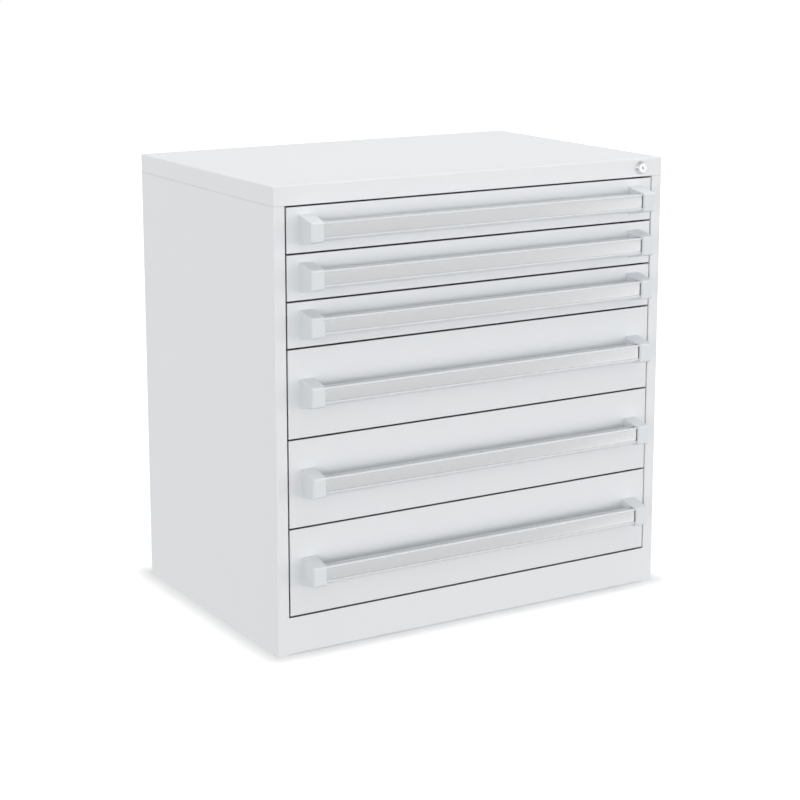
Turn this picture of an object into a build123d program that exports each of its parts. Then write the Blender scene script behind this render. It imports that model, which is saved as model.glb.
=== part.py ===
from build123d import *
import math
import os

# Steel cabinet with three shallow and three deep drawers on telescopic slides, locked together by one
# cylinder lock. Millimetres. x runs to the right, d runs back from the front faces, z runs up.

# Case
case_width = 790.0
case_depth = 525.0
band_height = 33.0
plinth_height = 65.0
post_width = 21.5
post_return = 22.0
case_sheet = 1.0
cover_sheet = 1.2
outer_bend = 2.0
cover_seam = 0.5
joggle_height = 20.0
joggle_lap = 14.0
back_flange = 18.0
back_sheet = 1.0
foot_flange = 15.0
band_return = 14.0
floor_drop = 5.0
floor_sheet = 1.2
floor_flange = 25.0

# Drawer fronts
shallow_front_height = 76.0
deep_front_height = 151.0
shallow_count = 3
deep_count = 3
front_gap = 3.0
side_gap = 2.5
front_sheet = 1.2
hem_width = 10.0
hem_gap = 0.2
front_edge_round = 0.8

# Drawer boxes
box_length = 480.0
box_sheet = 1.0
box_rise = 4.0
box_headroom = 11.5
box_bend = 1.0
box_hem = 8.0
box_foot = 8.0
box_end_clearance = 0.1

# Slides
slide_length = 450.0
slide_height = 45.0
slide_width = 12.7
slide_sheet = 1.2
slide_bend = 0.3
slide_clearance = 0.3
slide_set_back = 5.0
slide_rise = 4.5
outer_rail_depth = 9.5
middle_rail_depth = 9.7

# Uprights
upright_depth = 22.0
upright_sheet = 1.5
upright_bend = 0.75
front_upright_start = 40.0
rear_upright_start = 420.0

# Handles
handle_reach = 43.0
cap_from_side = 46.5
cap_base_height = 50.0
cap_base_width = 27.0
cap_face_height = 33.5
cap_face_width = 24.5
cap_front_round = 3.5
cap_edge_round = 1.0
strip_set_back = 4.0
strip_depth = 14.0
strip_height = 31.5
strip_wall = 1.8
strip_tenon = 2.2
tenon_clearance = 0.15
chamfer_height = 4.2
chamfer_depth = 3.0
lip_height = 2.2
label_height = 22.0
label_recess = 1.4
label_thickness = 1.2
label_slot = 1.9
groove_depth = 2.5
strip_edge_round = 0.5
label_clearance = 0.1

# Handle screws
screw_radius = 2.0
screw_spacing = 24.0
screw_head_radius = 3.8
screw_head_height = 2.2
screw_head_round = 0.7
screw_bite = 12.0
screw_clearance = 0.05
screw_end_gap = 1.0
hole_clearance = 0.3

# Lock
lock_from_side = 48.0
lock_flange_radius = 12.0
lock_face_radius = 8.5
lock_reach = 7.5
lock_round = 1.0
barrel_radius = 9.5
barrel_length = 22.0
barrel_clearance = 0.1
plug_radius = 6.0
plug_clearance = 0.05
plug_recess = 0.3
plug_tail_radius = 4.0
key_slot_width = 2.0
key_slot_height = 5.5
key_slot_depth = 10.0
key_slot_tilt = 30.0
cam_gap = 2.3
cam_sheet = 2.5
cam_width = 12.0
cam_tip_width = 10.0
cam_throw = 8.0
cam_start = 45.0
pin_radius = 2.0
pin_length = 4.7
pin_play = 0.5

# Lock bar
bar_set_back = 27.0
bar_depth = 8.0
bar_sheet = 3.0
bar_from_post = 7.5
bar_end_margin = 52.0
lug_height = 8.0
lug_lift = 1.5
lug_reach = 17.5
arm_set_back = 1.5
arm_sheet = 2.5
arm_height = 12.0
arm_wall = 4.5
guide_height = 16.0
guide_wall = 3.2
guide_clearance = 0.3
guide_rise = 12.0

# Catch tab on the right side of each drawer box
catch_reach = 8.5
catch_sheet = 3.0
catch_height = 8.0
catch_rise = 54.0
catch_clearance = 0.5

# How far a cut runs past the face that it opens, and how near to a face a corner counts as on it
overshoot = 1.0
corner_reach = 0.01

# Worked out from the sizes above
front_heights = [shallow_front_height] * shallow_count + [deep_front_height] * deep_count
drawer_count = len(front_heights)
case_height = band_height + sum(front_heights) + front_gap * (drawer_count + 1) + plinth_height
half_width = case_width / 2
post_inside = half_width - post_width
front_half = post_inside - side_gap
front_thickness = 2 * front_sheet + hem_gap
box_half = post_inside - slide_width
front_y = (handle_reach - case_depth) / 2
band_bottom = case_height - band_height
back_inside = case_depth - cover_sheet - back_sheet
cam_rise = cam_throw * math.cos(math.radians(cam_start))
lock_x = half_width - lock_from_side
lock_z = case_height - band_height / 2
bar_back = bar_set_back + bar_depth
bar_inside = post_inside + bar_from_post
lug_rise = catch_rise + catch_height + lug_lift
strip_front = -(handle_reach - strip_set_back)
strip_rear = strip_front + strip_depth
strip_half = strip_height / 2
strip_end = half_width - cap_from_side - cap_base_width + 2 * strip_tenon
groove_front = strip_front + label_recess + strip_wall
label_low = -strip_half + chamfer_height + lip_height
label_high = label_low + label_height
label_left = -(half_width - cap_from_side - cap_face_width) + label_clearance
label_right = half_width - cap_from_side - cap_face_width - label_slot


def drawer_bottoms():
    """Heights of the lower edges of the fronts, from the top drawer down."""
    bottoms = []
    top = band_bottom - front_gap
    for height in front_heights:
        bottoms.append(top - height)
        top = top - height - front_gap
    return bottoms


def block(x0, x1, d0, d1, z0, z1):
    """Box between two corners, with d measured back from the front faces."""
    centre = ((x0 + x1) / 2, front_y + (d0 + d1) / 2, (z0 + z1) / 2)
    return Pos(*centre) * Box(abs(x1 - x0), abs(d1 - d0), abs(z1 - z0))


def rod(radius, x, z, d0, d1):
    """Round rod that runs back from d0 to d1."""
    return Pos(x, front_y + (d0 + d1) / 2, z) * Rot(90, 0, 0) * Cylinder(radius, abs(d1 - d0))


def outline(points):
    """Flat face inside a closed line through the points."""
    return make_face(Polyline(*points, close=True))


def bent_sheet(points, thickness, bend=0.0):
    """Bent sheet seen end on: the points run along one skin and the other skin lies to their left."""
    skin = [Vector(*point) for point in points]
    runs = [(b - a).normalized() for a, b in zip(skin, skin[1:])]
    lefts = [Vector(-run.Y, run.X) for run in runs]
    other = [skin[0] + lefts[0] * thickness]
    radii = []
    for index in range(1, len(skin) - 1):
        before = lefts[index - 1]
        after = lefts[index]
        other.append(skin[index] + (before + after) * (thickness / (1 + before.dot(after))))
        turns_left = runs[index - 1].cross(runs[index]).Z > 0
        radii.append((bend + thickness, bend) if turns_left else (bend, bend + thickness))
    other.append(skin[-1] + lefts[-1] * thickness)
    if bend > 0 and radii:
        first = FilletPolyline(*skin, radius=[pair[0] for pair in radii])
        second = FilletPolyline(*other, radius=[pair[1] for pair in radii])
    else:
        first = Polyline(*skin)
        second = Polyline(*other)
    return make_face([first, second, Line(skin[0], other[0]), Line(skin[-1], other[-1])])


def upwards(face, z0, z1):
    """Extrudes a face drawn in x and d along z."""
    return extrude(Plane.XY.offset(z0) * Pos(0, front_y) * face, amount=z1 - z0)


def rearwards(face, d0, d1):
    """Extrudes a face drawn in x and z back from d0 to d1."""
    return extrude(Plane.XZ.offset(-(front_y + d0)) * face, amount=d0 - d1)


def sideways(face, x0, x1):
    """Extrudes a face drawn in d and z along x."""
    return extrude(Plane.YZ.offset(x0) * Pos(front_y, 0) * face, amount=x1 - x0)


def mirrored(piece):
    """The same piece on the other side of the case."""
    return mirror(piece, about=Plane.YZ)


def save(name, *solids):
    """Writes one piece, or one group of like pieces, as its own file."""
    shape = solids[0] if len(solids) == 1 else Compound(children=list(solids))
    export_step(shape, f"parts/{name}.step")


# Case

def side_panel():
    """Right side: folded sheet with the front post, its return and a rear flange, open towards the inside."""
    rear = case_depth
    plan = [
        (post_inside, post_return),
        (post_inside, 0.0),
        (half_width, 0.0),
        (half_width, rear),
        (half_width - back_flange, rear),
    ]
    top = band_bottom - cover_seam
    panel = upwards(bent_sheet(plan, case_sheet, outer_bend - case_sheet), 0.0, top)
    skin_inside = half_width - case_sheet
    joggle_in = half_width - cover_sheet
    joggle_thin = joggle_in - case_sheet
    joggle_low = top - joggle_lap
    joggle_start = cover_sheet + 2 * outer_bend + case_sheet
    joggle_end = rear - joggle_start
    panel += block(joggle_thin, skin_inside, joggle_start, joggle_end, joggle_low, top)
    panel += block(joggle_thin, joggle_in, joggle_start, joggle_end, joggle_low, top + joggle_height)
    post_end = half_width - 2 * outer_bend
    panel += block(post_inside + outer_bend, post_end, case_sheet, cover_sheet + case_sheet, joggle_low, top)
    post_tab = (post_inside + outer_bend, post_end, cover_sheet, cover_sheet + case_sheet)
    panel += block(*post_tab, joggle_low, top + joggle_height)
    # Below the drawers the post's edge is square, where the plinth is welded to it and ground flush.
    panel += block(post_inside, post_inside + outer_bend + case_sheet, 0.0, case_sheet, 0.0, plinth_height)
    panel += block(half_width - foot_flange, half_width, outer_bend, back_inside, 0.0, case_sheet)
    return panel


def back_panel():
    """Flat sheet inside the sides' rear flanges and the cover's rear skirt."""
    half = half_width - case_sheet - outer_bend
    return block(-half, half, back_inside, back_inside + back_sheet, 0.0, case_height - cover_sheet)


def top_cover():
    """Folded cap with skirts on four sides, a stiffening return under the front band and the lock's hole."""
    shell = block(-half_width, half_width, 0.0, case_depth, band_bottom, case_height)
    rounded = shell.edges().filter_by(Axis.Z) + shell.faces().sort_by(Axis.Z)[-1].edges()
    shell = fillet(rounded, outer_bend)
    inner_half = half_width - cover_sheet
    inner_rear = case_depth - cover_sheet
    inner_top = case_height - cover_sheet
    shell -= block(-inner_half, inner_half, cover_sheet, inner_rear, band_bottom - overshoot, inner_top)
    return_top = band_bottom + cover_sheet
    shell += block(-post_inside, post_inside, 0.0, band_return, band_bottom, return_top)
    shell -= rod(barrel_radius + barrel_clearance, lock_x, lock_z, -overshoot, 2 * cover_sheet)
    return shell


def plinth():
    """Plinth panel between the posts, with a flange along the floor."""
    side = [(0.0, plinth_height), (0.0, 0.0), (foot_flange, 0.0)]
    return sideways(bent_sheet(side, case_sheet, outer_bend - case_sheet), -post_inside, post_inside)


def floor_pan():
    """Floor of the case: a shallow pan turned down on four sides."""
    top = plinth_height - floor_drop
    pan = block(-post_inside, post_inside, case_sheet, back_inside, top - floor_flange, top)
    inner_half = post_inside - floor_sheet
    inner_rear = back_inside - floor_sheet
    low = top - floor_flange - overshoot
    pan -= block(-inner_half, inner_half, case_sheet + floor_sheet, inner_rear, low, top - floor_sheet)
    return pan


def upright(start):
    """Channel that carries the slides on the right, open towards the side panel."""
    outside = half_width - case_sheet
    plan = [
        (outside, start),
        (post_inside, start),
        (post_inside, start + upright_depth),
        (outside, start + upright_depth),
    ]
    face = bent_sheet(plan[::-1], upright_sheet, upright_bend)
    channel = upwards(face, 0.0, case_height - cover_sheet)
    # The joggled top of the side panel and its foot flange pass through notches in the channel.
    notch = half_width - cover_sheet - case_sheet
    low = band_bottom - cover_seam - joggle_lap
    front = start - overshoot
    back = start + upright_depth + overshoot
    channel -= block(notch, outside + overshoot, front, back, low, case_height)
    foot_start = half_width - foot_flange
    channel -= block(foot_start, outside + overshoot, front, back, -overshoot, case_sheet)
    return channel


# Slides

def slide_zone(index):
    """Height of the middle of a drawer's slides."""
    return drawer_bottoms()[index] + slide_rise + slide_height / 2


def rail(start, depth, half_height, opens_inwards):
    """One C-shaped member of a right-hand slide, seen from the front."""
    near = post_inside - start
    far = near - depth
    if opens_inwards:
        path = [(far, half_height), (near, half_height), (near, -half_height), (far, -half_height)]
    else:
        path = [(near, -half_height), (far, -half_height), (far, half_height), (near, half_height)]
    return bent_sheet(path[::-1], slide_sheet, slide_bend)


def placed_rail(face, index):
    """A slide member of one drawer, on the right."""
    back = slide_set_back + slide_length
    return rearwards(Pos(0, slide_zone(index)) * face, slide_set_back, back)


def outer_rail(index):
    """Slide member on the uprights."""
    return placed_rail(rail(0.0, outer_rail_depth, slide_height / 2, True), index)


def middle_rail(index):
    """Slide member that runs half as far as the drawer."""
    start = slide_sheet + slide_clearance
    half_height = slide_height / 2 - slide_sheet - slide_clearance
    return placed_rail(rail(start, middle_rail_depth, half_height, True), index)


def inner_rail(index):
    """Slide member on the drawer box."""
    start = 2 * (slide_sheet + slide_clearance)
    half_height = slide_height / 2 - 2 * (slide_sheet + slide_clearance)
    return placed_rail(rail(start, slide_width - start, half_height, False), index)


# Drawers

def drawer_front(index):
    """Front sheet with its edges hemmed back all round and holes for the handle's screws."""
    low = drawer_bottoms()[index]
    high = low + front_heights[index]
    sheet = block(-front_half, front_half, 0.0, front_thickness, low, high)
    sheet = fillet(sheet.faces().sort_by(Axis.Y)[0].edges(), front_edge_round)
    inner = front_half - hem_width
    hollow_back = front_thickness + overshoot
    sheet -= block(-inner, inner, front_sheet, hollow_back, low + hem_width, high - hem_width)
    for x, z in screw_places(index):
        sheet -= rod(screw_radius + hole_clearance, x, z, -overshoot, front_thickness)
    return sheet


def drawer_box(index):
    """Tray of five welded sheets: floor, inner front with holes for the handle's screws, back and two sides."""
    low = drawer_bottoms()[index] + box_rise
    high = drawer_bottoms()[index] + front_heights[index] - box_headroom
    front = front_thickness
    side_front = front + box_sheet
    rear = front + box_length
    side_rear = rear - box_sheet
    inner_front = block(-box_half, box_half, front, side_front, low, high)
    for x, z in screw_places(index):
        inner_front -= rod(screw_radius + hole_clearance, x, z, 0.0, side_front + overshoot)
    side = [(box_half - box_foot, low), (box_half, low), (box_half, high), (box_half - box_hem, high)]
    right = rearwards(bent_sheet(side, box_sheet, box_bend), side_front, side_rear)
    # The upper edges are hemmed: a second layer lies under the flange, short of the fold.
    hem_inside = box_half - box_hem
    hem_fold = box_half - 2 * box_sheet - box_bend
    right += block(hem_inside, hem_fold, side_front, side_rear, high - 2 * box_sheet, high - box_sheet)
    floor_half = box_half - box_sheet - box_bend
    floor = block(-floor_half, floor_half, side_front, side_rear, low + box_sheet, low + 2 * box_sheet)
    back = block(-box_half, box_half, side_rear, rear, low, high)
    hem_half = hem_inside - box_end_clearance
    back += block(-hem_half, hem_half, rear - box_hem, side_rear, high - 2 * box_sheet, high)
    return [floor, inner_front, back, right, mirrored(right)]


def catch_tab(index):
    """Tab on the right of a drawer box that the lock bar's lug blocks."""
    low = drawer_bottoms()[index] + catch_rise
    start = bar_back + catch_clearance
    return block(box_half, box_half + catch_reach, start, start + catch_sheet, low, low + catch_height)


# Handles

def handle_z(index):
    """Height of the middle of a drawer's handle."""
    return drawer_bottoms()[index] + front_heights[index] / 2


def screw_places(index):
    """Places of the four screws that hold a drawer's handle caps."""
    x = half_width - cap_from_side - cap_base_width / 2
    return [(side * x, handle_z(index) + up * screw_spacing / 2) for side in (-1, 1) for up in (-1, 1)]


def strip_outline(grow=0.0):
    """Outer outline of the handle's profile in d and z, with its chamfered foot."""
    front = strip_front - grow
    rear = strip_rear + grow
    half = strip_half + grow
    return [
        (rear, half),
        (rear, -half),
        (front + chamfer_depth, -half),
        (front, -half + chamfer_height),
        (front, half),
    ]


def handle_strip(index):
    """Profile along the drawer: a label channel in front, a chamfered foot and an open groove on top."""
    section = outline(strip_outline())
    cut_front = strip_front - overshoot
    section -= outline([
        (cut_front, label_low),
        (cut_front, label_high),
        (strip_front + label_recess, label_high),
        (strip_front + label_recess, label_low),
    ])
    groove_low = strip_half - groove_depth
    section -= outline([
        (groove_front, strip_half + overshoot),
        (strip_rear - strip_wall, strip_half + overshoot),
        (strip_rear - strip_wall, groove_low),
        (groove_front, groove_low),
    ])
    section -= outline([
        (groove_front, groove_low - strip_wall),
        (strip_rear - strip_wall, groove_low - strip_wall),
        (strip_rear - strip_wall, -strip_half + strip_wall),
        (groove_front, -strip_half + strip_wall),
    ])
    outer = [
        corner for corner in section.vertices()
        if corner.X < strip_front + corner_reach or abs(corner.Y) > strip_half - corner_reach
    ]
    section = fillet(outer, strip_edge_round)
    z = handle_z(index)
    strip = sideways(Pos(0, z) * section, -strip_end, strip_end)
    # A slot through the front wall beside the right cap lets the label strip be pushed out.
    slot_end = strip_end + overshoot
    return strip - block(label_right, slot_end, cut_front, groove_front, z + label_low, z + label_high)


def label_cover(index):
    """Clear cover strip in the label channel, a little short of the right cap."""
    z = handle_z(index)
    low = z + label_low + label_clearance
    high = z + label_high - label_clearance
    channel_floor = strip_front + label_recess
    return block(label_left, label_right, channel_floor - label_thickness, channel_floor, low, high)


def end_cap(index):
    """Left cap of a handle: tapered above, below and towards the strip, with a pocket for the strip's end."""
    half_base = cap_base_height / 2
    half_face = cap_face_height / 2
    side = [(0.0, half_base), (0.0, -half_base), (-handle_reach, -half_face), (-handle_reach, half_face)]
    x0 = -(half_width - cap_from_side)
    x1 = x0 + cap_base_width
    z = handle_z(index)
    cap = sideways(Pos(0, z) * outline(side), x0, x1)
    taper = [
        (x1, 0.0),
        (x1 + overshoot, 0.0),
        (x1 + overshoot, -handle_reach - overshoot),
        (x0 + cap_face_width, -handle_reach - overshoot),
        (x0 + cap_face_width, -handle_reach),
    ]
    cap -= upwards(outline(taper), z - half_base, z + half_base)
    cap = fillet(cap.faces().sort_by(Axis.Y)[0].edges(), cap_front_round)
    long_edges = [edge for edge in cap.edges() if abs((edge @ 1 - edge @ 0).Y) > handle_reach / 2]
    cap = fillet(long_edges, cap_edge_round)
    tenon_end = x1 - 2 * strip_tenon - tenon_clearance
    pocket = Pos(0, z) * outline(strip_outline(tenon_clearance))
    cap -= sideways(pocket, tenon_end, x1 + overshoot)
    for x, screw_z in screw_places(index):
        if x < 0:
            cap -= rod(screw_radius + screw_clearance, x, screw_z, -screw_bite - screw_end_gap, 0.0)
    return cap


def handle_screw(x, z):
    """Pan-head screw from inside the drawer box, through the front, into a cap."""
    wall = front_thickness + box_sheet
    shank = rod(screw_radius, x, z, -screw_bite, wall)
    head = rod(screw_head_radius, x, z, wall, wall + screw_head_height)
    head = fillet(head.edges().sort_by(Axis.Y)[-1], screw_head_round)
    return shank + head


# Lock

def lock_housing():
    """Cylinder lock's body: a coned flange in front of the band and a barrel behind it."""
    profile = outline([
        (plug_radius + plug_clearance, -lock_reach),
        (lock_face_radius, -lock_reach),
        (lock_flange_radius, -cover_sheet),
        (lock_flange_radius, 0.0),
        (barrel_radius, 0.0),
        (barrel_radius, barrel_length),
        (plug_radius + plug_clearance, barrel_length),
    ])
    body = revolve(profile, Axis.Y)
    body = fillet(body.edges().filter_by(GeomType.CIRCLE).group_by(Axis.Y)[0][-1], lock_round)
    return Pos(lock_x, front_y, lock_z) * body


def lock_plug():
    """Turning plug with a keyway and a tail for the cam."""
    front = -lock_reach + plug_recess
    plug = rod(plug_radius, lock_x, lock_z, front, barrel_length)
    plug += rod(plug_tail_radius, lock_x, lock_z, barrel_length, barrel_length + cam_gap)
    keyway = Pos(lock_x, lock_z) * Rot(0, 0, 90 + key_slot_tilt) * SlotOverall(key_slot_height, key_slot_width)
    return plug - rearwards(keyway, front - overshoot, front + key_slot_depth)


def lock_cam():
    """Cam on the plug's tail with the pin that moves the lock bar."""
    start = barrel_length + cam_gap
    pin_x = cam_throw * math.sin(math.radians(cam_start))
    lever = rod(cam_width / 2, lock_x, lock_z, start, start + cam_sheet)
    lever += rod(cam_tip_width / 2, lock_x + pin_x, lock_z + cam_rise, start, start + cam_sheet)
    bridge = Box(cam_throw, cam_sheet, cam_tip_width)
    turn = Rot(0, -(90 - cam_start), 0)
    middle = (lock_x + pin_x / 2, front_y + start + cam_sheet / 2, lock_z + cam_rise / 2)
    lever += Pos(*middle) * turn * bridge
    pin_start = start + cam_sheet
    return lever + rod(pin_radius, lock_x + pin_x, lock_z + cam_rise, pin_start, pin_start + pin_length)


def lock_bar():
    """Bar in the right-hand post, with an arm over the cam's pin and one lug above each drawer's catch."""
    bottoms = drawer_bottoms()
    pin_x = lock_x + cam_throw * math.sin(math.radians(cam_start))
    pin_z = lock_z + cam_rise
    play = pin_radius + pin_play
    slot_left = pin_x - play - pin_play
    slot_right = lock_x + cam_throw + play + pin_play
    top = pin_z + arm_height / 2
    low = bottoms[-1] + lug_rise - bar_end_margin
    bar = block(bar_inside, bar_inside + bar_sheet, bar_set_back, bar_back, low, top)
    arm_front = bar_set_back + arm_set_back
    arm_back = arm_front + arm_sheet
    arm = block(slot_left - arm_wall, bar_inside, arm_front, arm_back, top - arm_height, top)
    arm -= block(slot_left, slot_right, arm_front - overshoot, arm_back + overshoot, pin_z - play, pin_z + play)
    pieces = [bar, arm]
    for bottom in bottoms:
        lug_low = bottom + lug_rise
        lug_side = bar_inside - lug_reach
        pieces.append(block(lug_side, bar_inside, bar_set_back, bar_back, lug_low, lug_low + lug_height))
    return pieces


def bar_guide(index):
    """Guide on the front upright that the lock bar runs in, level with a drawer's slides."""
    gap = guide_clearance
    low = drawer_bottoms()[index] + guide_rise
    inside = bar_inside - gap
    outside = bar_inside + bar_sheet + gap
    front = bar_set_back - gap
    back = bar_back + gap
    high = low + guide_height
    guide = block(inside - guide_wall, outside + guide_wall, front - guide_wall, front_upright_start, low, high)
    return guide - block(inside, outside, front, back, low - overshoot, high + overshoot)


def build():
    """Writes every piece of the cabinet."""
    os.makedirs("parts", exist_ok=True)
    right_side = side_panel()
    save("side_panel_right", right_side)
    save("side_panel_left", mirrored(right_side))
    save("back_panel", back_panel())
    save("top_cover", top_cover())
    save("plinth", plinth())
    save("floor_pan", floor_pan())
    front_upright = upright(front_upright_start)
    rear_upright = upright(rear_upright_start)
    guided_upright = front_upright
    for index in (0, shallow_count, drawer_count - 1):
        guided_upright += bar_guide(index)
    save("slide_uprights", guided_upright, mirrored(front_upright), rear_upright, mirrored(rear_upright))
    outer = [outer_rail(index) for index in range(drawer_count)]
    save("outer_rails", *outer, *[mirrored(piece) for piece in outer])
    save("lock_housing", lock_housing())
    save("lock_plug", lock_plug())
    save("lock_cam", lock_cam())
    save("lock_bar", *lock_bar())
    for index in range(drawer_count):
        name = f"drawer_{index + 1}"
        save(f"{name}_box", *drawer_box(index), catch_tab(index))
        save(f"{name}_front", drawer_front(index))
        save(f"{name}_handle", handle_strip(index))
        cap = end_cap(index)
        save(f"{name}_caps", cap, mirrored(cap))
        save(f"{name}_label", label_cover(index))
        save(f"{name}_inner_rails", inner_rail(index), mirrored(inner_rail(index)))
        save(f"{name}_middle_rails", middle_rail(index), mirrored(middle_rail(index)))
        save(f"{name}_screws", *[handle_screw(x, z) for x, z in screw_places(index)])


build()
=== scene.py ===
import math

import bpy
import numpy as np
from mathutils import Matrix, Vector


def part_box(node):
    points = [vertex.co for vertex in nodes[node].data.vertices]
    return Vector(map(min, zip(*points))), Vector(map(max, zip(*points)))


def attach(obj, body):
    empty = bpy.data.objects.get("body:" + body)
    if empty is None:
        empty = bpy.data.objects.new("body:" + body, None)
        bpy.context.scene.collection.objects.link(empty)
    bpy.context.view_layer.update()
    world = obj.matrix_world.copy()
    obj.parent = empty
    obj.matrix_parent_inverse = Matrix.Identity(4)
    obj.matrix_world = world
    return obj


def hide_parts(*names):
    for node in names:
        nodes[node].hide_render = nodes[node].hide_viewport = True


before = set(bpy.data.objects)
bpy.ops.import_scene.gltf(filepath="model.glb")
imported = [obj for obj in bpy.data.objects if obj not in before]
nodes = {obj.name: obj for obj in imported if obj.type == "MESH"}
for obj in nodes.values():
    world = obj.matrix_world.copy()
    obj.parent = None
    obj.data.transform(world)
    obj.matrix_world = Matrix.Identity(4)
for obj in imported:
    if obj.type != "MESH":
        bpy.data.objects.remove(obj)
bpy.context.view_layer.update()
drawers = [f"drawer_{number}" for number in range(1, 7)]

# Case: two folded side sheets with their front posts, the back, the cover with its front band, the
# plinth and the floor pan. All are steel sheet, bent, spot-welded and then powder coated light grey.
CASE_GREY = "E9EBED"
COAT_ROUGHNESS = 0.42
COAT_GLOSS_DRIFT = 0.04
COAT_IOR = 1.5
COAT_DRIFT_MM = 260.0
COAT_DRIFT_SHADE = 0.01
ORANGE_PEEL_MM = 1.8
ORANGE_PEEL_HEIGHT_MM = 0.05
ORANGE_PEEL_STRENGTH = 0.35
PIGMENT_GRAIN_MM = 0.5
PIGMENT_GRAIN_SHADE = 0.015
# Values that end in _MM are in millimetres. All other lengths are in metres, as in Blender.
METRE_MM = 1000.0


def linear(colour):
    """sRGB hex colour as linear red, green, blue and alpha, by the curve of the sRGB standard."""
    channels = np.array([int(colour[i:i + 2], 16) / 255 for i in (0, 2, 4)])
    dark = channels / 12.92
    light = ((channels + 0.055) / 1.055) ** 2.4
    return (*np.where(channels <= 0.04045, dark, light), 1.0)


def add(tree, kind, sockets=(), **settings):
    """Adds a shader node: settings are its properties, sockets are (input, value or output) pairs."""
    made = tree.nodes.new("ShaderNode" + kind)
    for name, value in settings.items():
        setattr(made, name, value)
    for socket, value in sockets:
        if isinstance(value, bpy.types.NodeSocket):
            tree.links.new(value, made.inputs[socket])
        else:
            made.inputs[socket].default_value = value
    return made


def start_material(name):
    """An empty material, its node tree, and the output of its object coordinates."""
    material = bpy.data.materials.new(name)
    material.use_nodes = True
    material.node_tree.nodes.clear()
    place = add(material.node_tree, "TexCoord").outputs["Object"]
    return material, material.node_tree, place


def end_material(material, shader):
    """Joins a shader to the material's surface and returns the material."""
    add(material.node_tree, "OutputMaterial", [("Surface", shader.outputs[0])])
    return material


def powder_coat(name, colour, roughness=COAT_ROUGHNESS):
    """Polyester powder coat, sprayed and oven-cured: a satin skin that the eye reads as flat and even,
    with a fine orange peel in its highlights, a faint pigment grain and a very slow drift of shade over
    a panel."""
    material, tree, place = start_material(name)
    peel = add(tree, "TexNoise", [("Vector", place), ("Scale", METRE_MM / ORANGE_PEEL_MM),
                                  ("Detail", 2.0)])
    grain = add(tree, "TexNoise", [("Vector", place), ("Scale", METRE_MM / PIGMENT_GRAIN_MM),
                                   ("Detail", 1.0)])
    drift = add(tree, "TexNoise", [("Vector", place), ("Scale", METRE_MM / COAT_DRIFT_MM),
                                   ("Detail", 2.0)])
    grain_shade = add(tree, "MapRange", [("Value", grain.outputs[0]),
                                         ("To Min", 1 - PIGMENT_GRAIN_SHADE),
                                         ("To Max", 1 + PIGMENT_GRAIN_SHADE)])
    drift_shade = add(tree, "MapRange", [("Value", drift.outputs[0]),
                                         ("To Min", 1 - COAT_DRIFT_SHADE),
                                         ("To Max", 1 + COAT_DRIFT_SHADE)])
    shade = add(tree, "Math", [(0, grain_shade.outputs[0]), (1, drift_shade.outputs[0])],
                operation="MULTIPLY")
    tint = add(tree, "HueSaturation", [("Color", linear(colour)), ("Value", shade.outputs[0])])
    gloss = add(tree, "MapRange", [("Value", drift.outputs[0]), ("To Min", roughness - COAT_GLOSS_DRIFT),
                                   ("To Max", roughness + COAT_GLOSS_DRIFT)])
    bump = add(tree, "Bump", [("Height", peel.outputs[0]), ("Strength", ORANGE_PEEL_STRENGTH),
                              ("Distance", ORANGE_PEEL_HEIGHT_MM / METRE_MM)])
    shader = add(tree, "BsdfPrincipled", [("Base Color", tint.outputs[0]), ("Normal", bump.outputs[0]),
                                          ("Roughness", gloss.outputs[0]), ("IOR", COAT_IOR)])
    return end_material(material, shader)


def dress(names, material):
    """Gives CAD nodes a material."""
    for name in names:
        nodes[name].data.materials.clear()
        nodes[name].data.materials.append(material)


dress(["side_panel_left", "side_panel_right", "back_panel", "top_cover", "plinth", "floor_pan"],
      powder_coat("powder_coat_case", CASE_GREY))

# Slides and uprights: cold-rolled steel strip, roll-formed and zinc plated, so bright grey with a cool
# cast. A slide's fixed member, half-travel member and drawer member are all of it.
ZINC_LIGHT = "C9CDD0"
ZINC_DARK = "A9AEB3"
ZINC_SMOOTHEST = 0.24
ZINC_ROUGHEST = 0.46
ZINC_CLOUD_MM = 14.0
ROLL_STREAK_MM = 0.9
ROLL_STREAK_LENGTH_MM = 60.0
ROLL_STREAK_HEIGHT_MM = 0.03
ROLL_STREAK_STRENGTH = 0.3
LENGTHWISE = (0, 1, 0)
UPRIGHT = (0, 0, 1)
# A Mix node's two colour inputs and its colour output, by their places in its lists of sockets.
MIX_FIRST = 6
MIX_SECOND = 7
MIX_RESULT = 2


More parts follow.
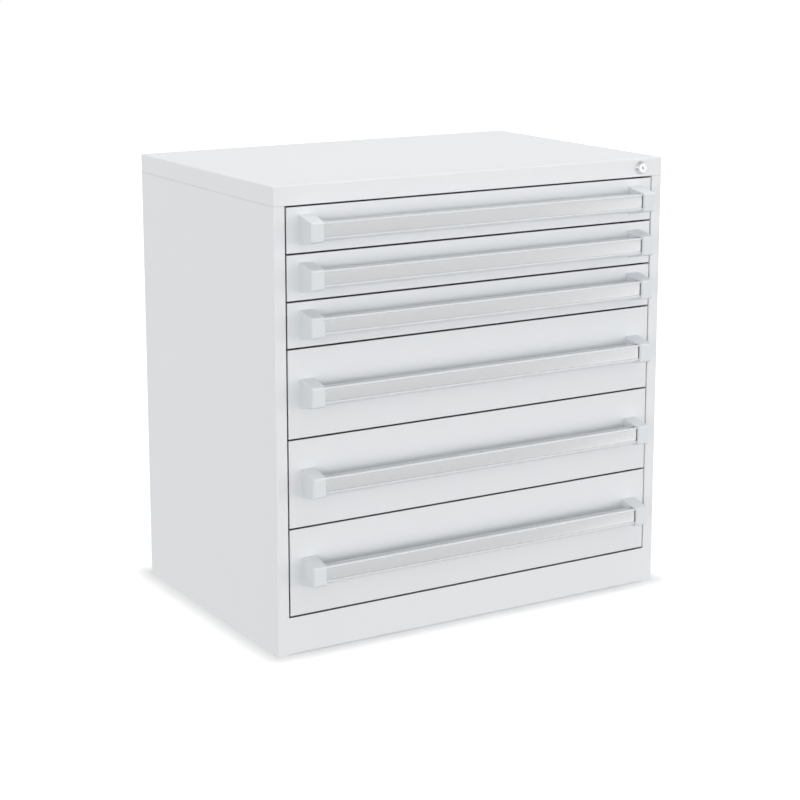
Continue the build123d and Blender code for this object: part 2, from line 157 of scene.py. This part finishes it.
def zinc_plate(name, rolled):
    """Bright zinc plate on rolled strip: a cool grey metal with soft clouds where the bath ran and fine
    rolling streaks along the strip, which blur its reflections one way. Streaks are drawn coarser than
    real ones, and run along the axis that rolled marks with a 1."""
    material, tree, place = start_material(name)
    stretch = [METRE_MM / (ROLL_STREAK_LENGTH_MM if along else ROLL_STREAK_MM) for along in rolled]
    run = add(tree, "Mapping", [("Vector", place), ("Scale", stretch)])
    streak = add(tree, "TexNoise", [("Vector", run.outputs[0]), ("Scale", 1.0), ("Detail", 3.0)])
    cloud = add(tree, "TexNoise", [("Vector", place), ("Scale", METRE_MM / ZINC_CLOUD_MM),
                                   ("Detail", 3.0)])
    colour = add(tree, "Mix", [("Factor", cloud.outputs[0]), (MIX_FIRST, linear(ZINC_DARK)),
                               (MIX_SECOND, linear(ZINC_LIGHT))], data_type="RGBA")
    gloss = add(tree, "MapRange", [("Value", streak.outputs[0]), ("To Min", ZINC_SMOOTHEST),
                                   ("To Max", ZINC_ROUGHEST)])
    bump = add(tree, "Bump", [("Height", streak.outputs[0]), ("Strength", ROLL_STREAK_STRENGTH),
                              ("Distance", ROLL_STREAK_HEIGHT_MM / METRE_MM)])
    shader = add(tree, "BsdfPrincipled", [("Base Color", colour.outputs[MIX_RESULT]),
                                          ("Normal", bump.outputs[0]),
                                          ("Roughness", gloss.outputs[0]), ("Metallic", 1.0)])
    return end_material(material, shader)


rails = [f"{drawer}_{member}_rails" for drawer in drawers for member in ("middle", "inner")]
dress(["outer_rails"] + rails, zinc_plate("zinc_plated_slides", LENGTHWISE))
dress(["slide_uprights"], zinc_plate("zinc_plated_uprights", UPRIGHT))

# Cylinder lock: a turned brass housing and plug with a bright nickel and chrome plate, pushed through
# the band from the front. The cam, its pin and the lock bar behind are zinc-plated steel.
CHROME = "E6E7E8"
# The dark grey that follows is painted shade, for the deep keyway and the housing behind the band.
KEYWAY_PAINTED_SHADE = "4C4D4E"
HOUSING_ROUGHNESS = 0.12
PLUG_ROUGHNESS = 0.2
POLISH_SMOOTHEST = 0.8
POLISH_ROUGHEST = 1.4
# How far behind the plug's face the painted shade begins, and over what depth it fades in.
PLUG_PAINTED_SHADE_DEPTH = 0.0004
PAINTED_SHADE_FADE = 0.0003
LATHE_RING_MM = 2.2
LATHE_RING_WAVER = 0.4
LATHE_RING_HEIGHT_MM = 0.01
LATHE_RING_STRENGTH = 0.15
WAVE_RATE = 20.0


def chrome_plate(name, roughness, painted_shade_from):
    """Decorative chrome on turned brass: mirror-like, with fine rings round the turning axis left by
    polishing, drawn as coarse as they need to show. Deeper than its last argument, in the keyway and
    behind the band, the colour turns dark grey: painted shade for these recesses. The wave texture
    turns through WAVE_RATE radians in each unit of its scaled space, and a ring is a full turn of it."""
    material, tree, place = start_material(name)
    low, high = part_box("lock_housing")
    centred = add(tree, "Mapping", [("Vector", place), ("Location", -(low + high) / 2)])
    rings = add(tree, "TexWave", [("Vector", centred.outputs[0]), ("Distortion", LATHE_RING_WAVER),
                                  ("Scale", 2 * math.pi / WAVE_RATE * METRE_MM / LATHE_RING_MM)],
                wave_type="RINGS", rings_direction="Y")
    depth = add(tree, "SeparateXYZ", [(0, place)])
    painted_shade = add(tree, "MapRange", [("Value", depth.outputs["Y"]), ("From Min", painted_shade_from),
                                  ("From Max", painted_shade_from + PAINTED_SHADE_FADE)])
    colour = add(tree, "Mix", [("Factor", painted_shade.outputs[0]), (MIX_FIRST, linear(CHROME)),
                               (MIX_SECOND, linear(KEYWAY_PAINTED_SHADE))], data_type="RGBA")
    gloss = add(tree, "MapRange", [("Value", rings.outputs[1]), ("To Min", roughness * POLISH_SMOOTHEST),
                                   ("To Max", roughness * POLISH_ROUGHEST)])
    bump = add(tree, "Bump", [("Height", rings.outputs[1]), ("Strength", LATHE_RING_STRENGTH),
                              ("Distance", LATHE_RING_HEIGHT_MM / METRE_MM)])
    shader = add(tree, "BsdfPrincipled", [("Base Color", colour.outputs[MIX_RESULT]),
                                          ("Normal", bump.outputs[0]),
                                          ("Roughness", gloss.outputs[0]), ("Metallic", 1.0)])
    return end_material(material, shader)


band_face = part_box("top_cover")[0].y
plug_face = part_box("lock_plug")[0].y
dress(["lock_housing"], chrome_plate("chrome_lock_housing", HOUSING_ROUGHNESS, band_face))
dress(["lock_plug"], chrome_plate("chrome_lock_plug", PLUG_ROUGHNESS, plug_face + PLUG_PAINTED_SHADE_DEPTH))
dress(["lock_cam", "lock_bar"], zinc_plate("zinc_plated_lock_bar", UPRIGHT))

# Drawers: a welded tray of thin sheet behind a hemmed front sheet, each powder coated before it is
# joined. The fronts' grey is a shade darker than the case's as painted shade, for the shade that the
# handles throw on the fronts, and the trays' coat is darker and duller.
FRONT_GREY_WITH_PAINTED_SHADE = "E6E8EA"
BOX_GREY = "DDDFE1"
BOX_ROUGHNESS = 0.5
dress([f"{drawer}_front" for drawer in drawers], powder_coat("powder_coat_fronts", FRONT_GREY_WITH_PAINTED_SHADE))
dress([f"{drawer}_box" for drawer in drawers], powder_coat("powder_coat_boxes", BOX_GREY, BOX_ROUGHNESS))

# Handle strips: an aluminium profile for each drawer, extruded, satin etched and clear anodised, cut to
# length and held by its ends in the two caps.
ANODISED_LIGHT = "E8EAEC"
ANODISED_DARK = "DFE1E4"
ANODISED_METAL = 0.5
ANODISED_ROUGHNESS = 0.45
ANODISED_GLOSS_DRIFT = 0.05
DIE_LINE_MM = 0.7
DIE_LINE_LENGTH_MM = 400.0
DIE_LINE_HEIGHT_MM = 0.02
DIE_LINE_STRENGTH = 0.12


def anodised_aluminium(name):
    """Satin anodised aluminium: a pale grey metal whose etched oxide film scatters half of the light,
    so that it looks milky beside bare metal, with faint die lines along the extrusion, drawn coarser
    than real ones."""
    material, tree, place = start_material(name)
    stretch = (METRE_MM / DIE_LINE_LENGTH_MM, METRE_MM / DIE_LINE_MM, METRE_MM / DIE_LINE_MM)
    run = add(tree, "Mapping", [("Vector", place), ("Scale", stretch)])
    lines = add(tree, "TexNoise", [("Vector", run.outputs[0]), ("Scale", 1.0), ("Detail", 3.0)])
    colour = add(tree, "Mix", [("Factor", lines.outputs[0]), (MIX_FIRST, linear(ANODISED_DARK)),
                               (MIX_SECOND, linear(ANODISED_LIGHT))], data_type="RGBA")
    gloss = add(tree, "MapRange", [("Value", lines.outputs[0]),
                                   ("To Min", ANODISED_ROUGHNESS - ANODISED_GLOSS_DRIFT),
                                   ("To Max", ANODISED_ROUGHNESS + ANODISED_GLOSS_DRIFT)])
    bump = add(tree, "Bump", [("Height", lines.outputs[0]), ("Strength", DIE_LINE_STRENGTH),
                              ("Distance", DIE_LINE_HEIGHT_MM / METRE_MM)])
    shader = add(tree, "BsdfPrincipled", [("Base Color", colour.outputs[MIX_RESULT]),
                                          ("Normal", bump.outputs[0]),
                                          ("Roughness", gloss.outputs[0]),
                                          ("Metallic", ANODISED_METAL)])
    return end_material(material, shader)


dress([f"{drawer}_handle" for drawer in drawers], anodised_aluminium("anodised_aluminium_strip"))

# End caps: two for each handle, injection-moulded ABS in the case's grey with a fine eroded grain,
# screwed on through the front from inside the drawer with zinc-plated screws.
CAP_GREY = "E1E5E8"
CAP_ROUGHNESS = 0.5
CAP_IOR = 1.53
MOULD_GRAIN_MM = 0.6
MOULD_GRAIN_SHADE = 0.015
MOULD_GRAIN_HEIGHT_MM = 0.04
MOULD_GRAIN_STRENGTH = 0.3


def moulded_abs(name):
    """Moulded ABS from a spark-eroded tool: an even matt skin whose fine pits break up highlights."""
    material, tree, place = start_material(name)
    grain = add(tree, "TexNoise", [("Vector", place), ("Scale", METRE_MM / MOULD_GRAIN_MM),
                                   ("Detail", 2.0)])
    shade = add(tree, "MapRange", [("Value", grain.outputs[0]), ("To Min", 1 - MOULD_GRAIN_SHADE),
                                   ("To Max", 1 + MOULD_GRAIN_SHADE)])
    tint = add(tree, "HueSaturation", [("Color", linear(CAP_GREY)), ("Value", shade.outputs[0])])
    bump = add(tree, "Bump", [("Height", grain.outputs[0]), ("Strength", MOULD_GRAIN_STRENGTH),
                              ("Distance", MOULD_GRAIN_HEIGHT_MM / METRE_MM)])
    shader = add(tree, "BsdfPrincipled", [("Base Color", tint.outputs[0]), ("Normal", bump.outputs[0]),
                                          ("Roughness", CAP_ROUGHNESS), ("IOR", CAP_IOR)])
    return end_material(material, shader)


dress([f"{drawer}_caps" for drawer in drawers], moulded_abs("moulded_abs_caps"))
dress([f"{drawer}_screws" for drawer in drawers], zinc_plate("zinc_plated_screws", LENGTHWISE))

# Label strips: a blank silver-grey card in each handle's channel under a clear PVC cover strip, sprung
# in between the channel's lips, so that both bow forwards a little. Both have rounded edges.
CARD_GREY = "D7D9DB"
CARD_ROUGHNESS = 0.15
CARD_METAL = 0.9
CARD_THICKNESS = 0.0003
CARD_CORNER = CARD_THICKNESS / 4
CARD_FIBRE_MM = 3.0
CARD_FIBRE_SHADE = 0.012
COVER_TINT = "FDFDFD"
COVER_ROUGHNESS = 0.06
COVER_IOR = 1.5
COVER_THICKNESS = 0.0005
COVER_CORNER = 0.0002
COVER_GAP = 0.00005
COVER_RIPPLE_MM = 30.0
COVER_RIPPLE_HEIGHT_MM = 0.2
COVER_RIPPLE_STRENGTH = 0.2
STRIP_BOW = 0.0005
ARC_STEPS = 5
SIDE_STEPS = 13


def bowed_outline(width, height, corner):
    """Closed outline of a strip's section, in depth and height: four quarter circles, angle by angle,
    joined by sides of even steps, and all of it pushed forwards by STRIP_BOW times one less its height
    squared, where the height runs from -1 at the lower edge to 1 at the upper one."""
    turn = np.linspace(0.0, math.pi / 2, ARC_STEPS)
    along = np.linspace(1.0, -1.0, SIDE_STEPS)[1:-1] * (height / 2 - corner)
    across = []
    up = []
    for quarter, (side, end) in enumerate([(1, 1), (-1, 1), (-1, -1), (1, -1)]):
        angle = turn + quarter * math.pi / 2
        across.append(side * (width / 2 - corner) + corner * np.cos(angle))
        up.append(end * (height / 2 - corner) + corner * np.sin(angle))
        if side != end:
            across.append(np.full(len(along), side * width / 2))
            up.append(along * end)
    depth = np.concatenate(across)
    rise = np.concatenate(up)
    return depth - STRIP_BOW * (1 - (2 * rise / height) ** 2), rise


def carried_along(name, depth, rise, left, right):
    """A closed section in depth and height carried from left to right: point (x, depth, rise) on a grid
    of two ends by all section points, with each end closed by one face."""
    count = len(depth)
    points = np.zeros((2, count, 3))
    points[0, :, 0] = left
    points[1, :, 0] = right
    points[:, :, 1] = depth
    points[:, :, 2] = rise
    here = np.arange(count)
    after = (here + 1) % count
    sides = np.stack([here, after, after + count, here + count], axis=1).tolist()
    ends = [here[::-1].tolist(), (here + count).tolist()]
    mesh = bpy.data.meshes.new(name)
    mesh.from_pydata(points.reshape(-1, 3).tolist(), [], sides + ends)
    mesh.validate()
    piece = bpy.data.objects.new(name, mesh)
    bpy.context.scene.collection.objects.link(piece)
    return piece


def label_card(name):
    """Foil-faced silver-grey card: a satin metal sheen over a soft fibre mottle, which blurs what it
    mirrors. The mottle is drawn coarser than real fibres."""
    material, tree, place = start_material(name)
    fibre = add(tree, "TexNoise", [("Vector", place), ("Scale", METRE_MM / CARD_FIBRE_MM),
                                   ("Detail", 3.0)])
    shade = add(tree, "MapRange", [("Value", fibre.outputs[0]), ("To Min", 1 - CARD_FIBRE_SHADE),
                                   ("To Max", 1 + CARD_FIBRE_SHADE)])
    tint = add(tree, "HueSaturation", [("Color", linear(CARD_GREY)), ("Value", shade.outputs[0])])
    shader = add(tree, "BsdfPrincipled", [("Base Color", tint.outputs[0]), ("Roughness", CARD_ROUGHNESS),
                                          ("Metallic", CARD_METAL)])
    return end_material(material, shader)


def clear_cover(name):
    """Clear rigid PVC: light passes straight through the thin strip, and its glossy front skin adds a
    slightly rippled reflection that grows towards grazing angles."""
    material, tree, place = start_material(name)
    ripple = add(tree, "TexNoise", [("Vector", place), ("Scale", METRE_MM / COVER_RIPPLE_MM),
                                    ("Detail", 1.0)])
    bump = add(tree, "Bump", [("Height", ripple.outputs[0]), ("Strength", COVER_RIPPLE_STRENGTH),
                              ("Distance", COVER_RIPPLE_HEIGHT_MM / METRE_MM)])
    through = add(tree, "BsdfTransparent", [("Color", linear(COVER_TINT))])
    skin = add(tree, "BsdfGlossy", [("Roughness", COVER_ROUGHNESS), ("Normal", bump.outputs[0])])
    grazing = add(tree, "Fresnel", [("IOR", COVER_IOR), ("Normal", bump.outputs[0])])
    inside = add(tree, "NewGeometry").outputs["Backfacing"]
    outside = add(tree, "Math", [(0, 1.0), (1, inside)], operation="SUBTRACT")
    share = add(tree, "Math", [(0, grazing.outputs[0]), (1, outside.outputs[0])], operation="MULTIPLY")
    shader = add(tree, "MixShader", [(0, share.outputs[0]), (1, through.outputs[0]),
                                     (2, skin.outputs[0])])
    return end_material(material, shader)


card_finish = label_card("silver_grey_card")
cover_finish = clear_cover("clear_pvc_cover")
for drawer in drawers:
    low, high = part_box(f"{drawer}_label")
    middle = (low + high) / 2
    height = high.z - low.z
    card_y = high.y - CARD_THICKNESS / 2
    card_depth, card_rise = bowed_outline(CARD_THICKNESS, height, CARD_CORNER)
    card = carried_along(f"{drawer}_card", card_depth + card_y, card_rise + middle.z, low.x, high.x)
    card.data.materials.append(card_finish)
    cover_y = high.y - CARD_THICKNESS - COVER_GAP - COVER_THICKNESS / 2
    cover_depth, cover_rise = bowed_outline(COVER_THICKNESS, height, COVER_CORNER)
    cover = carried_along(f"{drawer}_cover", cover_depth + cover_y, cover_rise + middle.z, low.x, high.x)
    cover.data.materials.append(cover_finish)
    for piece in (card, cover):
        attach(piece, drawer)
    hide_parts(f"{drawer}_label")

# Floor: a matt white studio floor that runs out of sight and lights nothing. It keeps the real soft
# shadow round the case. A glow for the camera whitens the rest. It is weakest at the case's edge, so it
# paints a darker contact shadow there, and it grows with distance from the case.
FLOOR_HALF = 12.0
FLOOR_WHITE = "F2F2F2"
PAINTED_SHADOW_GLOW_AT_CASE = 0.05
GLOW_NEAR = 0.44
GLOW_FAR = 0.72
PAINTED_SHADOW_REACH = 0.045
FAR_REACH = 2.0

floor_mesh = bpy.data.meshes.new("studio_floor")
corners = np.array([(-1, -1, 0), (1, -1, 0), (1, 1, 0), (-1, 1, 0)]) * FLOOR_HALF
floor_mesh.from_pydata(corners.tolist(), [], [(0, 1, 2, 3)])
floor = bpy.data.objects.new("studio_floor", floor_mesh)
floor.visible_glossy = False
floor.visible_diffuse = False
floor.visible_shadow = False
bpy.context.scene.collection.objects.link(floor)

floor_paint, paint, spot = start_material("white_studio_floor")
cover_low, cover_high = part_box("top_cover")
cover_middle = (cover_low + cover_high) / 2
cover_half = (cover_high - cover_low) / 2

# Distance from the case in plan: the length of what each of x and y has past the cover's edge.
from_middle = add(paint, "VectorMath", [(0, spot), (1, cover_middle)], operation="SUBTRACT")
unsigned = add(paint, "VectorMath", [(0, from_middle.outputs[0])], operation="ABSOLUTE")
from_edges = add(paint, "VectorMath", [(0, unsigned.outputs[0]), (1, cover_half)], operation="SUBTRACT")
outside = add(paint, "VectorMath", [(0, from_edges.outputs[0]), (1, (0.0, 0.0, 0.0))],
              operation="MAXIMUM")
in_plan = add(paint, "VectorMath", [(0, outside.outputs[0]), (1, (1.0, 1.0, 0.0))],
              operation="MULTIPLY")
away = add(paint, "VectorMath", [(0, in_plan.outputs[0])], operation="LENGTH").outputs["Value"]

# The glow rises fast with distance over a short reach, where its weak start paints a contact shadow
# round the case, then slowly out to FAR_REACH.
near = add(paint, "MapRange", [("Value", away), ("From Max", PAINTED_SHADOW_REACH), ("To Min", PAINTED_SHADOW_GLOW_AT_CASE),
                               ("To Max", GLOW_NEAR)])
far = add(paint, "MapRange", [("Value", away), ("From Min", PAINTED_SHADOW_REACH), ("From Max", FAR_REACH),
                              ("To Max", GLOW_FAR - GLOW_NEAR)])
glow_with_painted_shadow = add(paint, "Math", [(0, near.outputs[0]), (1, far.outputs[0])], operation="ADD")

paint_rays = add(paint, "LightPath").outputs
seen = add(paint, "Math", [(0, paint_rays["Is Camera Ray"]), (1, paint_rays["Is Transmission Ray"])],
           operation="MAXIMUM")
seen_glow_with_painted_shadow = add(paint, "Math", [(0, seen.outputs[0]), (1, glow_with_painted_shadow.outputs[0])], operation="MULTIPLY")
matt = add(paint, "BsdfDiffuse", [("Color", linear(FLOOR_WHITE))])
glowing_with_painted_shadow = add(paint, "Emission", [("Strength", seen_glow_with_painted_shadow.outputs[0])])
floor_shader = add(paint, "AddShader", [(0, matt.outputs[0]), (1, glowing_with_painted_shadow.outputs[0])])
floor_mesh.materials.append(end_material(floor_paint, floor_shader))

# Surround: a white studio tent. A pale sky and a band round the horizon light matt faces. Gloss and
# metal mirror a smoother tent, with white boards low down on both sides. The camera sees plain white.
# Values in _Z or _Y, and SIDES_START and SIDES_FULL, are parts of a direction of length 1.
SKY_ABOVE = 0.50
SKY_BELOW = 0.12
HORIZON_HALF_Z = 0.05
BAND_BEHIND = 1.88
BAND_FRONT = 2.70
BAND_BEHIND_Y = 0.2
BAND_FRONT_Y = -1.0
BAND_POWER = 4.3
MIRROR_CEILING = 0.60
MIRROR_HORIZON = 1.03
MIRROR_FLOOR = 0.89
MIRROR_FLOOR_Z = -0.6
MIRROR_UNDER = 0.62
MIRROR_UNDER_START_Z = -0.45
MIRROR_UNDER_FULL_Z = -0.85
SIDES_GAIN = 0.50
SIDES_START = 0.594
SIDES_FULL = 0.612
SIDES_LEAN = 0.03
SIDES_FULL_Z = -0.08

world = bpy.data.worlds.new("white_surround")
bpy.context.scene.world = world
world.use_nodes = True
sky = world.node_tree
sky.nodes.clear()
way = add(sky, "TexCoord").outputs["Generated"]
split = add(sky, "SeparateXYZ", [(0, way)]).outputs

# Matt light: one less the size of z, to the power BAND_POWER, times a level that grows from behind to
# the front, plus a sky that steps down at the horizon.
steepness = add(sky, "Math", [(0, split["Z"])], operation="ABSOLUTE")
levelness = add(sky, "Math", [(0, 1.0), (1, steepness.outputs[0])], operation="SUBTRACT")
band_share = add(sky, "Math", [(0, levelness.outputs[0]), (1, BAND_POWER)], operation="POWER")
band_level = add(sky, "MapRange", [("Value", split["Y"]), ("From Min", BAND_BEHIND_Y),
                                   ("From Max", BAND_FRONT_Y), ("To Min", BAND_BEHIND),
                                   ("To Max", BAND_FRONT)])
band = add(sky, "Math", [(0, band_share.outputs[0]), (1, band_level.outputs[0])], operation="MULTIPLY")
plain = add(sky, "MapRange", [("Value", split["Z"]), ("From Min", -HORIZON_HALF_Z),
                              ("From Max", HORIZON_HALF_Z), ("To Min", SKY_BELOW),
                              ("To Max", SKY_ABOVE)])
matt_light = add(sky, "Math", [(0, band.outputs[0]), (1, plain.outputs[0])], operation="ADD")

# Tent: brightest at the horizon, falling evenly to the ceiling above and the floor below, and dimmer
# again straight down.
upper = add(sky, "MapRange", [("Value", split["Z"]), ("From Min", HORIZON_HALF_Z),
                              ("To Min", MIRROR_HORIZON), ("To Max", MIRROR_CEILING)])
lower = add(sky, "MapRange", [("Value", split["Z"]), ("From Min", MIRROR_FLOOR_Z),
                              ("From Max", HORIZON_HALF_Z), ("To Min", MIRROR_FLOOR),
                              ("To Max", MIRROR_HORIZON)])
under = add(sky, "MapRange", [("Value", split["Z"]), ("From Min", MIRROR_UNDER_FULL_Z),
                              ("From Max", MIRROR_UNDER_START_Z), ("To Min", MIRROR_UNDER)])
tent_wall = add(sky, "Math", [(0, upper.outputs[0]), (1, lower.outputs[0])], operation="MINIMUM")
tent = add(sky, "Math", [(0, tent_wall.outputs[0]), (1, under.outputs[0])], operation="MULTIPLY")

# Boards: a gain that comes in where the way's bearing turns sideways, and only below the horizon.
way_in_plan = add(sky, "VectorMath", [(0, way), (1, (1.0, 1.0, 0.0))], operation="MULTIPLY")
bearing = add(sky, "VectorMath", [(0, way_in_plan.outputs[0])], operation="NORMALIZE")
bearing_split = add(sky, "SeparateXYZ", [(0, bearing.outputs[0])])
sideways = add(sky, "Math", [(0, bearing_split.outputs["X"])], operation="ABSOLUTE")
leaning = add(sky, "Math", [(0, split["Z"]), (1, SIDES_LEAN), (2, sideways.outputs[0])],
              operation="MULTIPLY_ADD")
board = add(sky, "MapRange", [("Value", leaning.outputs[0]), ("From Min", SIDES_START),
                              ("From Max", SIDES_FULL), ("To Max", SIDES_GAIN)],
            interpolation_type="SMOOTHSTEP")
low_down = add(sky, "MapRange", [("Value", split["Z"]), ("From Min", 0.0), ("From Max", SIDES_FULL_Z)])
board_gain = add(sky, "Math", [(0, board.outputs[0]), (1, low_down.outputs[0]), (2, 1.0)],
                 operation="MULTIPLY_ADD")
mirrored = add(sky, "Math", [(0, tent.outputs[0]), (1, board_gain.outputs[0])], operation="MULTIPLY")

# Each kind of ray meets its own surround.
sky_rays = add(sky, "LightPath").outputs
shiny = add(sky, "Math", [(0, sky_rays["Is Glossy Ray"]), (1, sky_rays["Is Transmission Ray"])],
            operation="MAXIMUM")
unseen = add(sky, "Mix", [("Factor", shiny.outputs[0]), ("A", matt_light.outputs[0]),
                          ("B", mirrored.outputs[0])])
level = add(sky, "Mix", [("Factor", sky_rays["Is Camera Ray"]), ("A", unseen.outputs[0]), ("B", 1.0)])
light = add(sky, "Background", [("Color", (1.0, 1.0, 1.0, 1.0)), ("Strength", level.outputs[0])])
add(sky, "OutputWorld", [("Surface", light.outputs[0])])

# Lamp: one square softbox high above the object, a little to the right, which mirrors don't show. Its
# power gives every point of its face the named radiance.
LAMP_PLACE = Vector((0.3, -0.1, 5.0))
LAMP_TARGET = Vector((0.0, -0.1, 0.0))
LAMP_SIZE = 3.2
LAMP_RADIANCE = 2.35

lamp = bpy.data.lights.new("overhead_lamp", "AREA")
lamp.shape = "SQUARE"
lamp.size = LAMP_SIZE
lamp.energy = LAMP_RADIANCE * math.pi * LAMP_SIZE * LAMP_SIZE
overhead = bpy.data.objects.new("overhead_lamp", lamp)
overhead.location = LAMP_PLACE
overhead.rotation_mode = "QUATERNION"
overhead.rotation_quaternion = (LAMP_TARGET - LAMP_PLACE).to_track_quat("-Z", "Y")
overhead.visible_camera = False
overhead.visible_glossy = False
bpy.context.scene.collection.objects.link(overhead)

# Camera: at the photograph's viewing angle, from the front left and a little above, with a long lens.
# A small downward shift keeps the case's edges near upright, and other views can bear it too.
CAMERA_PLACE = (-1.8591, -3.0888, 1.2316)
CAMERA_TURN = math.radians(30.873)
CAMERA_PITCH = math.radians(11.503)
CAMERA_LENS_MM = 90.01
CAMERA_SHIFT = -0.10

lens = bpy.data.cameras.new("camera")
lens.lens = CAMERA_LENS_MM
lens.shift_y = CAMERA_SHIFT
camera = bpy.data.objects.new("camera", lens)
camera.location = CAMERA_PLACE
camera.rotation_euler = (math.pi / 2 - CAMERA_PITCH, 0.0, -CAMERA_TURN)
bpy.context.scene.collection.objects.link(camera)
bpy.context.scene.camera = camera
bpy.context.scene.view_settings.view_transform = "Standard"
